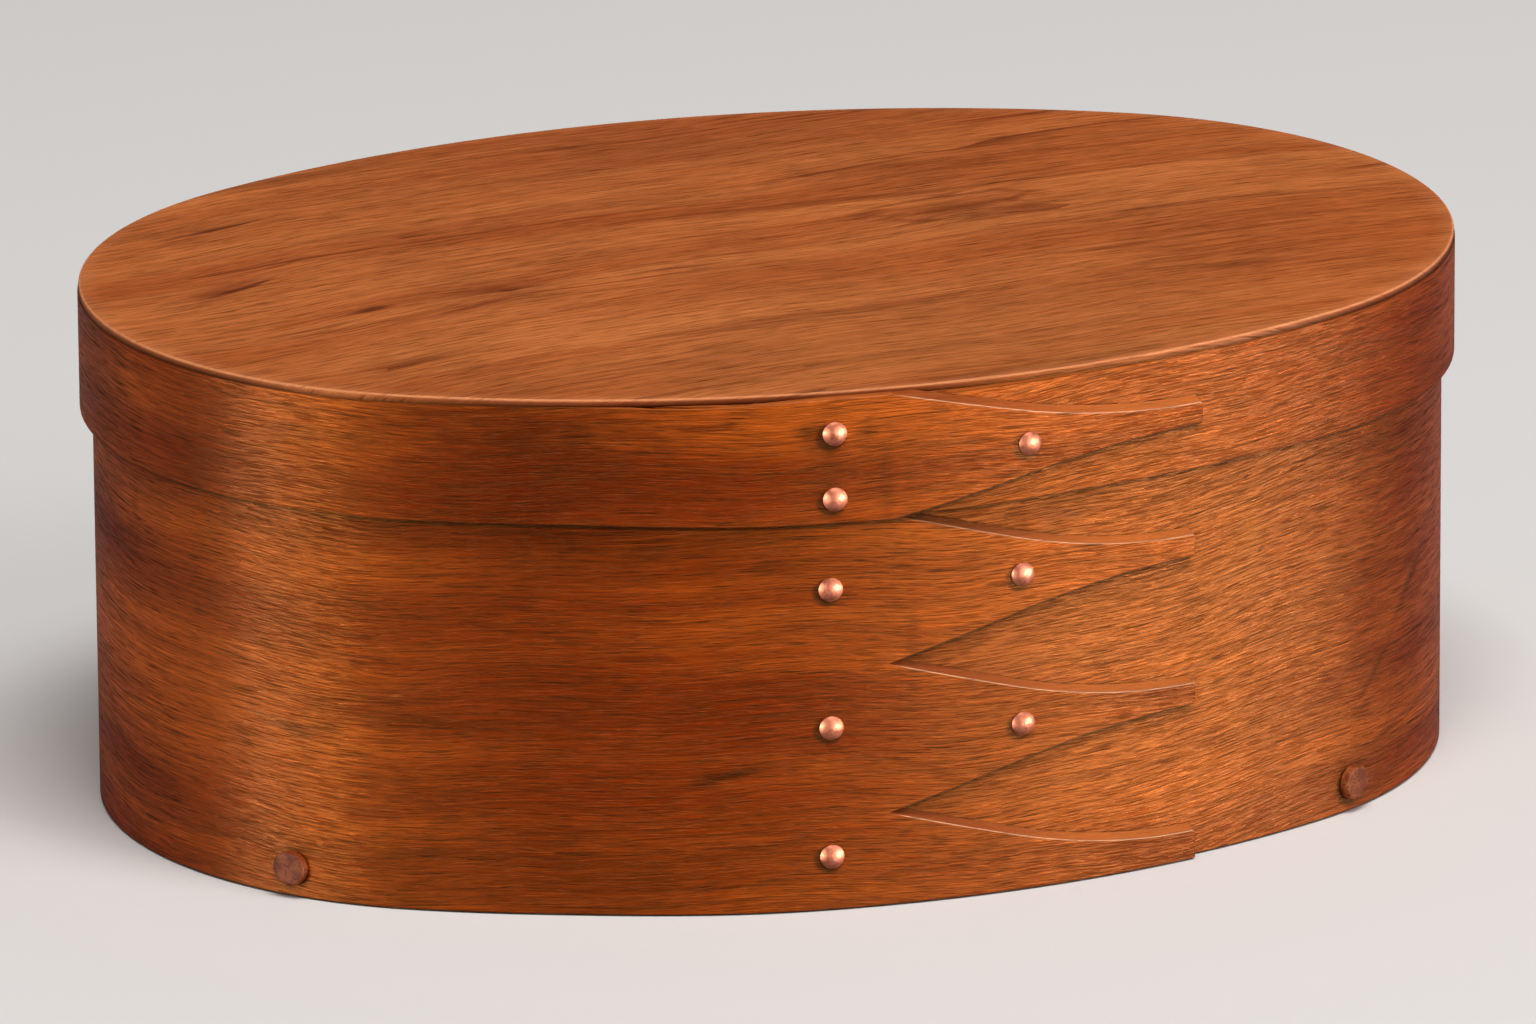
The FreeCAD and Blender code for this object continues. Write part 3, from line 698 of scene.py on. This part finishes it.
# kind, place along and up the band, half the length and height, turn, strength and tone
boxFigures = [
    # painted light: the next two lighter patches brighten the lit right of the front
    ("patch", 0.024, 0.035, 0.032, 0.038, 0, 0.5, (194, 108, 62)),
    ("patch", 0.05, 0.04, 0.06, 0.06, 0, 0.75, (190, 98, 34)),
    ("streak", 0.0615, 0.05, 0.0026, 0.01, 0, 0.45, (212, 122, 50)),
    ("spot", 0.0605, 0.0598, 0.0006, 0.0004, 0.3, 0.75, darkLine),
    ("spot", 0.0635, 0.0474, 0.0008, 0.0004, 0.5, 0.75, darkLine),
    ("streak", 0.0265, 0.0597, 0.008, 0.001, 0, 0.6, purple),
    ("streak", 0.04, 0.035, 0.015, 0.0014, 0.05, 0.4, purple),
    ("streak", 0.033, 0.0165, 0.012, 0.0012, 0.05, 0.45, purple),
    ("streak", 0.078, 0.056, 0.012, 0.0012, 0.1, 0.4, purple),
    ("patch", 0.087, 0.033, 0.0075, 0.012, -0.3, 0.85, flame),
    ("patch", 0.078, 0.022, 0.006, 0.003, 0.4, 0.6, flame),
    ("streak", 0.089, 0.021, 0.008, 0.0009, 0.75, 0.7, darkLine),
    ("streak", 0.102, 0.034, 0.011, 0.0013, 0.7, 0.7, darkLine),
    ("streak", 0.093, 0.0105, 0.009, 0.001, 0.2, 0.6, darkLine),
    # painted light: a lighter patch on the right end
    ("patch", 0.118, 0.04, 0.017, 0.06, 0, 0.5, (198, 98, 60)),
] + onceRound([
    # painted light: a lighter patch on the outer layer's fingers
    ("patch", 0.024, 0.033, 0.03, 0.045, 0, 0.45, (192, 98, 38)),
    ("streak", -0.097, 0.0277, 0.0085, 0.0015, -0.12, 0.95, darkLine),
    ("streak", -0.09, 0.0284, 0.005, 0.0012, 0.15, 0.8, darkLine),
    ("streak", -0.069, 0.0308, 0.014, 0.002, 0.02, 0.8, darkLine),
    ("streak", -0.0785, 0.0346, 0.0016, 0.0006, 0.3, 0.4, (206, 122, 60)),
    ("streak", -0.039, 0.0419, 0.011, 0.0008, 0, 0.55, darkLine),
    ("streak", -0.047, 0.0221, 0.01, 0.001, 0, 0.5, darkLine),
    ("streak", -0.0285, 0.0222, 0.008, 0.0013, 0.14, 1, (62, 18, 3)),
    # painted shade: a darker patch on the left of the front
    ("patch", -0.054, 0.03, 0.032, 0.07, 0, 0.75, (120, 36, 2)),
    ("patch", -0.055, 0.056, 0.02, 0.003, 0, 0.45, (112, 38, 4)),
    # painted shade: darker towards the bottom of the front
    ("patch", -0.045, 0.006, 0.065, 0.012, 0, 0.7, (112, 38, 3)),
    ("patch", 0.0015, 0.04, 0.0014, 0.02, 0, 0.35, (104, 36, 5)),
    # painted light: a lighter patch on the left end
    ("patch", -0.118, 0.04, 0.02, 0.05, 0, 0.35, (184, 86, 26)),
    # painted shadows under the tacks' and pegs' heads
    *(paintedShadowSpot("tack", *place) for place in tackPlaces["box"]),
    paintedShadowSpot("peg", pegPlaces["left"], pegPlaces["height"]),
]) + [paintedShadowSpot("peg", pegPlaces["right"], pegPlaces["height"])]
lidFigures = [
    # painted light: the next two lighter patches brighten the lit right side
    ("patch", 0.05, 0.073, 0.05, 0.03, 0, 0.4, (184, 92, 32)),
    ("patch", 0.12, 0.073, 0.015, 0.03, 0, 0.45, (190, 96, 60)),
    ("streak", 0.042, 0.0745, 0.013, 0.0009, 0, 0.5, purple),
    ("streak", 0.07, 0.071, 0.013, 0.0009, 0, 0.5, purple),
    ("streak", 0.086, 0.077, 0.011, 0.0009, 0, 0.5, purple),
] + onceRound([
    # painted shade: the next three darker patches dim the left of the front and the left end
    ("patch", -0.06, 0.073, 0.036, 0.03, 0, 0.95, (98, 20, 0)),
    ("patch", -0.108, 0.073, 0.026, 0.03, 0, 0.75, (116, 33, 2)),
    ("patch", -0.142, 0.073, 0.018, 0.03, 0, 0.4, (96, 32, 4)),
    ("streak", -0.0315, 0.0797, 0.009, 0.0008, 0, 0.7, darkLine),
    ("streak", -0.058, 0.0705, 0.015, 0.0007, 0, 0.5, darkLine),
    ("streak", -0.092, 0.0765, 0.011, 0.0009, 0, 0.5, darkLine),
    ("patch", -0.0125, 0.073, 0.0032, 0.012, 0, 0.5, stain),
    ("patch", -0.0035, 0.07, 0.0018, 0.009, 0, 0.5, stain),
    ("patch", -0.0152, 0.0785, 0.003, 0.0026, 0, 0.7, (78, 22, 2)),
    ("patch", -0.0065, 0.078, 0.0026, 0.003, 0.3, 0.6, (84, 26, 3)),
    # painted shadows under the tacks' heads
    *(paintedShadowSpot("tack", *place) for place in tackPlaces["lid"]),
])
topFigures = [
    ("patch", 0.048, -0.063, 0.042, 0.006, 0.1, 0.6, (212, 126, 66)),
    # painted light along the front, then painted shade along the back
    ("patch", 0.01, -0.05, 0.09, 0.03, 0, 0.55, (204, 120, 62)),
    ("patch", 0, 0.06, 0.09, 0.022, 0, 0.4, (160, 80, 38)),
    ("loop", 0.0333, 0.0165, 0.014, 0.0048, 0, 0.5, (122, 50, 21)),
    ("streak", 0.036, 0.013, 0.012, 0.0044, 0.1, 0.65, (128, 52, 22)),
    ("streak", 0.025, 0.009, 0.007, 0.0012, -0.5, 0.5, (128, 54, 24)),
    ("spot", -0.0446, -0.0092, 0.0018, 0.001, 0.1, 0.85, (84, 30, 12)),
    ("patch", -0.0446, -0.0085, 0.011, 0.0044, 0, 0.65, (136, 56, 24)),
    ("streak", -0.05, -0.015, 0.017, 0.001, 0.1, 0.65, (122, 52, 22)),
    ("streak", -0.0684, -0.013, 0.0055, 0.0015, 0, 0.9, (100, 38, 15)),
    ("patch", -0.088, 0.003, 0.012, 0.0045, 0.5, 0.65, (134, 56, 24)),
    ("streak", -0.084, 0.004, 0.009, 0.0012, 0.4, 0.85, (106, 42, 17)),
    ("streak", -0.082, 0.0355, 0.011, 0.0011, 0.05, 0.8, (96, 38, 16)),
    ("streak", -0.03, 0.03, 0.03, 0.003, 0, 0.4, (140, 62, 28)),
    ("streak", 0.07, 0.005, 0.024, 0.0016, 0, 0.5, shadowed),
    ("streak", 0.015, -0.033, 0.03, 0.0016, 0, 0.35, shadowed),
    ("streak", 0.07, -0.03, 0.02, 0.0016, 0, 0.4, shadowed),
]

# slopes: start, length and rise; waves: height, length and phase; swirls: place, size and push
boxGrain = {
    "slopes": [(0.0, 0.10, 0.003)], "waves": [(0.0009, 0.12, 0.4), (0.0003, 0.045, 1.1)],
    "swirls": [(wholeWay - 0.0785, 0.0346, 0.006, 0.005, 0.0012),
               (0.062, 0.052, 0.006, 0.010, 0.0006)],
}
lidGrain = {
    "slopes": [(0.0, 0.10, 0.002)], "waves": [(0.0007, 0.13, 2.0), (0.0003, 0.05, 0.3)],
    "swirls": [],
}
topGrain = {
    "turn": 0.17, "slopes": [],
    "waves": [(0.0040, 0.36, 4.71), (0.0010, 0.11, 0.9), (0.0004, 0.05, 0.2)],
    "swirls": [(-0.0454, -0.0015, 0.012, 0.006, 0.0025), (0.0356, 0.0106, 0.014, 0.008, 0.0030),
               (-0.0860, 0.0180, 0.014, 0.008, 0.0020)],
}
boxWood = cherryWood("boxCherry", dict(
    sideCherry, figures=placed(boxFigures, boxGrain), band=boxBand, underLid=True))
lidWood = cherryWood("lidCherry", dict(
    sideCherry, seed=7.0, figures=placed(lidFigures, lidGrain), band=lidBand))
boardWood = cherryWood("boardCherry", dict(boardCherry, figures=placed(
    [(kind, *turned(along, across, topGrain["turn"]), *rest)
     for kind, along, across, *rest in topFigures], topGrain)))

bentStrip("boxBand", "box_band", boxBand, boxWood, boxGrain)
bentStrip("lidBand", "lid_band", lidBand, lidWood, lidGrain)
print("strips bent")


# boards

boards = {"around": 480, "rings": 36, "edgeSteps": 7}
lidBoard = {"bottom": 0.0778, "ledge": 0.0826, "top": 0.0838, "lipEdge": 0.0018, "lipLift": 0.00002,
            "rounding": 0.0004, "plugRounding": 0.0003, "clearance": 0.0001}
bottomBoard = {"bottom": 0.0, "top": 0.0075, "edge": -0.0018, "rounding": 0.0003}
boardPlaces = np.arange(boards["around"]) / boards["around"] * wholeWay - wholeWay / 2


def ovalBoard(name, node, profile):
    # The profile is a list of (offset, height) rings from the lower rim to the upper one, and an
    # offset may follow the distance. Rings that shrink to the middle close the two faces.
    offsets = np.stack([np.broadcast_to(offset, boardPlaces.shape) for offset, height in profile])
    heights = np.array([height for offset, height in profile])
    x, y, outX, outY = wallPlace(boardPlaces[None, :], offsets)
    edge = np.stack([x, y, np.broadcast_to(heights[:, None], x.shape)], -1)
    shrink = np.linspace(1, 0, boards["rings"])[1:, None, None]
    shrink = shrink * [1, 1, 0] + [0, 0, 1]
    bottomRings, topRings = edge[0][None] * shrink, edge[-1][None] * shrink
    grid = np.concatenate([bottomRings[::-1], edge, topRings])
    rows, columns = grid.shape[:2]
    marks = np.zeros((rows, columns, 3))  # the side, painted a plain darker brown as shade, the rounded edge above it with a painted highlight, and painted shade below
    rim = np.array([[1.0, 0.0, 1.0], [1.0, 0.1, 0.0], [0.8, 0.5, 0.0], [0.4, 0.9, 0.0],
                    [0.1, 1.0, 0.0], [0.0, 0.9, 0.0], [0.0, 0.6, 0.0], [0.0, 0.2, 0.0]])
    marks[-len(topRings) - len(rim):-len(topRings)] = rim[:, None]
    drop = np.zeros((rows, 1))  # the grain is measured on over the side
    drop[len(bottomRings):-len(topRings), 0] = heights[-1] - heights
    along, across = turned(grid[..., 0] + outX * drop, grid[..., 1] + outY * drop,
                           topGrain["turn"])
    uv = np.stack([along, grainAcross(along, across, topGrain)], -1)
    makePiece(name, grid.reshape(-1, 3), [gridFaces(rows, columns)[:, ::-1]], node,
              boardWood, marks.reshape(-1, 3), uv.reshape(-1, 2))


def roundedEdge(offset, height, radius, upward):
    # a quarter circle between a board's face and its side, as (offset, height) rings
    turn = np.linspace(0, np.pi / 2, boards["edgeSteps"])
    if upward:
        return [(offset - radius * (1 - math.cos(a)), height - radius * (1 - math.sin(a)))
                for a in turn]
    return [(offset - radius * (1 - math.sin(a)), height + radius * (1 - math.cos(a)))
            for a in turn]


# the plug follows the lid band's inside out over the lap
plugEdge = bandFace(lidBand, boardPlaces) - lidBoard["clearance"]
ovalBoard("lidBoard", "lid_board",
          roundedEdge(plugEdge, lidBoard["bottom"], lidBoard["plugRounding"], False)
          + [(plugEdge, lidBoard["ledge"]),
             (lidBoard["lipEdge"], lidBoard["ledge"] + lidBoard["lipLift"])]
          + roundedEdge(lidBoard["lipEdge"], lidBoard["top"], lidBoard["rounding"], True))
ovalBoard("bottomBoard", "bottom_board",
          roundedEdge(bottomBoard["edge"], bottomBoard["bottom"], bottomBoard["rounding"], False)
          + roundedEdge(bottomBoard["edge"], bottomBoard["top"], bottomBoard["rounding"], True))
print("boards cut")


# tacks and pegs

dents = {"sides": 64, "waves": range(2, 6), "pitch": 900, "flatMiddle": 0.0004}


def turnedPiece(name, node, material, profile, place, facing, uneven, seed):
    # a (radius, height) profile turned about an axis that faces out of the wall, uneven by a
    # few slow waves round and across
    angle = np.arange(dents["sides"]) / dents["sides"] * 2 * np.pi
    radius, height = np.array(profile).T
    random = np.random.default_rng(seed)
    dent = np.zeros((len(radius), dents["sides"]))
    for wave in dents["waves"]:
        phase, size = random.uniform(0, 2 * np.pi, 2), random.uniform(0.3, 1.0)
        across = np.sin(radius[:, None] * wave * dents["pitch"] + phase[1])
        dent = dent + size * np.sin(wave * angle[None, :] + phase[0]) * across
    onHead = (height > 0) * np.minimum(radius / dents["flatMiddle"], 1)
    dent = uneven * (dent / len(dents["waves"]) - 0.5) * onHead[:, None]
    outX, outY = facing
    sideways, up = radius[:, None] * np.cos(angle), radius[:, None] * np.sin(angle)
    out = height[:, None] + dent
    points = np.stack([out * outX - sideways * outY, out * outY + sideways * outX, up], -1)
    makePiece(name, (points + np.array(place)).reshape(-1, 3),
              [gridFaces(len(radius), dents["sides"])], node, material)


copperLook = {
    "bright": colour(184, 110, 84), "dull": colour(146, 80, 57), "roughness": 0.50,
    "tarnishScale": 900, "gritScale": 5000, "bump": 0.25, "bumpDepth": 0.0003,
}


def copperMetal(look):
    # bright copper under patches of tarnish
    work = NodeWork(bpy.data.materials.new("copper"))
    place = work.node("ShaderNodeTexCoord", output="Object")
    tarnish = work.noise(place, look["tarnishScale"], 3, 0.6)
    grit = work.noise(place, look["gritScale"])
    tone = work.blend(work.spread(tarnish, 0.4, 0.7), look["bright"], look["dull"])
    gloss = work.spread(grit, 0.3, 0.7, look["roughness"] - 0.04, look["roughness"] + 0.06, False)
    normal = work.bump(tarnish, look["bump"], look["bumpDepth"])
    return work.finish({"Base Color": tone, "Metallic": 1.0, "Roughness": gloss, "Normal": normal})


copper = copperMetal(copperLook)
tack = {
    "headRadius": 0.0019, "headHeight": 0.00095, "rimHeight": 0.00015, "shankRadius": 0.0006,
    "clinchRadius": 0.0011, "clinchThickness": 0.00035, "clinchProud": 0.00012, "clinchFlat": 0.8,
    "capSteps": 14, "uneven": 0.00003, "seeds": {"box": 218, "lid": 228},
}


def tackProfile():
    # a circle's cap over a short rim, then the shank through both layers and the clinched end
    rise = tack["headHeight"] - tack["rimHeight"]
    capRadius = (tack["headRadius"] ** 2 + rise ** 2) / (2 * rise)
    turn = np.linspace(0, math.asin(tack["headRadius"] / capRadius), tack["capSteps"])
    cap = [(capRadius * math.sin(a), tack["headHeight"] - capRadius * (1 - math.cos(a)))
           for a in turn]
    end = -(strip["thickness"] + lapStep)
    clinchTop, tip = end + tack["clinchThickness"], end - tack["clinchProud"]
    return cap + [(tack["headRadius"], 0), (tack["shankRadius"], 0),
                  (tack["shankRadius"], clinchTop), (tack["clinchRadius"], clinchTop),
                  (tack["clinchRadius"], end), (tack["clinchRadius"] * tack["clinchFlat"], tip),
                  (0, tip)]


def lapFacing(band, distance):
    # a point on the outer layer's face, and the direction square to it
    def face(at):
        return np.array(wallPlace(at, lapFace(band, at) + strip["thickness"])[:2], float)
    step = face(distance + tack["headRadius"]) - face(distance - tack["headRadius"])
    step = step / np.linalg.norm(step)
    return face(distance), (step[1], -step[0])


for lead, band in (("box", boxBand), ("lid", lidBand)):
    for number, (distance, height) in enumerate(tackPlaces[lead], start=1):
        (x, y), facing = lapFacing(band, distance)
        turnedPiece(f"{lead}Tack{number}", f"{lead}_tack_{number}", copper, tackProfile(),
                    (x, y, height), facing, tack["uneven"], tack["seeds"][lead] + number)

pegLook = {
    "deep": colour(134, 58, 24), "light": colour(172, 90, 44), "pore": colour(80, 32, 12),
    "poreScale": 2600, "cloudScale": 500, "poreStrength": 0.75, "roughness": 0.5, "specular": 0.08,
    "bump": 0.35, "bumpDepth": 0.0001,
}


def pegEndGrain(look):
    # end grain: many small pores over faint growth lines
    work = NodeWork(bpy.data.materials.new("pegWood"))
    place = work.node("ShaderNodeTexCoord", output="Object")
    speck = work.noise(place, look["poreScale"], 2, 0.6)
    cloud = work.noise(place, look["cloudScale"])
    tone = work.blend(work.spread(cloud, 0.35, 0.65), look["deep"], look["light"])
    pores = work.spread(speck, 0.5, 0.68, 0, look["poreStrength"])
    tone = work.blend(pores, tone, look["pore"])
    normal = work.bump(speck, look["bump"], look["bumpDepth"])
    return work.finish({"Base Color": tone, "Roughness": look["roughness"],
                        "Specular IOR Level": look["specular"], "Normal": normal})


pegWood = pegEndGrain(pegLook)
peg = {"headRadius": 0.00275, "headLength": 0.0014, "rounding": 0.0004, "shankRadius": 0.0015,
       "depth": 0.0138, "faceSteps": 8, "rimSteps": 7, "uneven": 0.00002, "seed": 500}


def pegProfile():
    # a flat face, a quarter circle to the side, then the shank
    flat, length = peg["headRadius"] - peg["rounding"], peg["headLength"]
    face = [(share * flat, length) for share in np.linspace(0, 1, peg["faceSteps"])]
    rim = [(peg["headRadius"] - peg["rounding"] * (1 - math.sin(a)),
            length - peg["rounding"] * (1 - math.cos(a)))
           for a in np.linspace(0, math.pi / 2, peg["rimSteps"])[1:]]
    return face + rim + [(peg["headRadius"], 0), (peg["shankRadius"], 0),
                         (peg["shankRadius"], -peg["depth"]), (0, -peg["depth"])]


pegTurns = [(halfTurn, pegPlaces[side]) for halfTurn in (1, -1) for side in ("left", "right")]
for number, (halfTurn, distance) in enumerate(pegTurns, start=1):
    wall = wallPlace(np.float64(distance), 0.0)
    x, y, outX, outY = (float(value) * halfTurn for value in wall)
    turnedPiece(f"bottomPeg{number}", f"bottom_peg_{number}", pegWood, pegProfile(),
                (x, y, pegPlaces["height"]), (outX, outY), peg["uneven"], peg["seed"] + number)
print("tacks and pegs turned")


# floor, lights and camera

stage = {
    "floorRadius": 6.0, "floorSides": 96, "floorLevel": -0.0002,
    "floor": colour(233, 230, 227), "mirroredFloor": colour(110, 108, 108),
    "floorRoughness": 0.8, "floorSpecular": 0.2,
    "backdrop": (0.66, 0.64, 0.62, 1.0), "ambient": (0.18, 0.18, 0.182, 1.0),
    "reflected": (0.08, 0.08, 0.08, 1.0), "lampTarget": 0.04,
}
# azimuth (0 is the front, 90 the right), elevation, distance, width, height, watts, and whether
# it only draws a sheen; the sheens are lower than the lid's top, which can't mirror them
lights = {
    "keyRight": (40, 38, 1.7, 0.7, 0.7, 7.0, False),
    "overhead": (0, 71, 3.0, 1.5, 1.0, 60.0, False),
    "sheenRight": (46, 0, 1.5, 1.2, 0.07, 68.0, True),
    "sheenLeft": (-70, 0, 1.5, 1.0, 0.07, 45.0, True),
}
view = {"azimuth": -15.61, "elevation": 17.78, "roll": -0.41, "distance": 2.620,
        "right": 0.000746, "down": 0.03852, "lens": 386.79, "sensor": 36.0, "clip": (0.1, 50.0)}


def makeFloor():
    angle = np.arange(stage["floorSides"]) / stage["floorSides"] * 2 * np.pi
    points = np.stack([stage["floorRadius"] * np.cos(angle), stage["floorRadius"] * np.sin(angle),
                       np.full(len(angle), stage["floorLevel"])], -1)
    mesh = bpy.data.meshes.new("floor")
    mesh.from_pydata(points.tolist(), [], [list(range(len(angle)))])
    work = NodeWork(bpy.data.materials.new("paleFloor"))
    glossRay = work.node("ShaderNodeLightPath", output="Is Glossy Ray")
    tone = work.blend(glossRay, stage["floor"], stage["mirroredFloor"])
    mesh.materials.append(work.finish({
        "Base Color": tone, "Roughness": stage["floorRoughness"],
        "Specular IOR Level": stage["floorSpecular"]}))
    floor = bpy.data.objects.new("floor", mesh)
    addToScene(floor)


def makeWorld():
    # the camera sees a pale backdrop, a gloss mirrors a dim room, and the rest gets plain light
    world = bpy.data.worlds.new("studio")
    bpy.context.scene.world = world
    work = NodeWork(world)

    def level(key):
        return work.node("ShaderNodeBackground", {"Color": stage[key]})

    seen = level("ambient")
    for key, ray in (("reflected", "Is Glossy Ray"), ("backdrop", "Is Camera Ray")):
        onRay = work.node("ShaderNodeLightPath", output=ray)
        seen = work.node("ShaderNodeMixShader", {0: onRay, 1: seen, 2: level(key)})
    work.put(work.tree.nodes.new("ShaderNodeOutputWorld").inputs[0], seen)


def aimed(height, azimuth, elevation, shift, roll=0.0):
    # the place of what looks at a height on the box's axis and is shifted in its own frame
    turn, lift, roll = (math.radians(angle) for angle in (azimuth, elevation, roll))
    rotation, translation = mathutils.Matrix.Rotation, mathutils.Matrix.Translation
    return (translation((0, 0, height)) @ rotation(turn, 4, "Z")
            @ rotation(math.pi / 2 - lift, 4, "X") @ rotation(roll, 4, "Z") @ translation(shift))


def softbox(name, azimuth, elevation, away, wide, tall, power, glossOnly):
    light = bpy.data.lights.new(name, "AREA")
    light.shape, light.size, light.size_y, light.energy = "RECTANGLE", wide, tall, power
    lamp = bpy.data.objects.new(name, light)
    lamp.matrix_world = aimed(stage["lampTarget"], azimuth, elevation, (0, 0, away))
    lamp.visible_diffuse = not glossOnly
    addToScene(lamp)


def makeCamera():
    data = bpy.data.cameras.new("camera")
    data.lens, data.sensor_width = view["lens"], view["sensor"]
    data.clip_start, data.clip_end = view["clip"]
    camera = bpy.data.objects.new("camera", data)
    camera.matrix_world = aimed(0, view["azimuth"], view["elevation"],
                                (-view["right"], view["down"], view["distance"]), view["roll"])
    addToScene(camera)
    bpy.context.scene.camera = camera


makeFloor()
makeWorld()
for name, values in lights.items():
    softbox(name, *values)
makeCamera()
bpy.context.scene.view_settings.view_transform = "Standard"
print("stage lit")
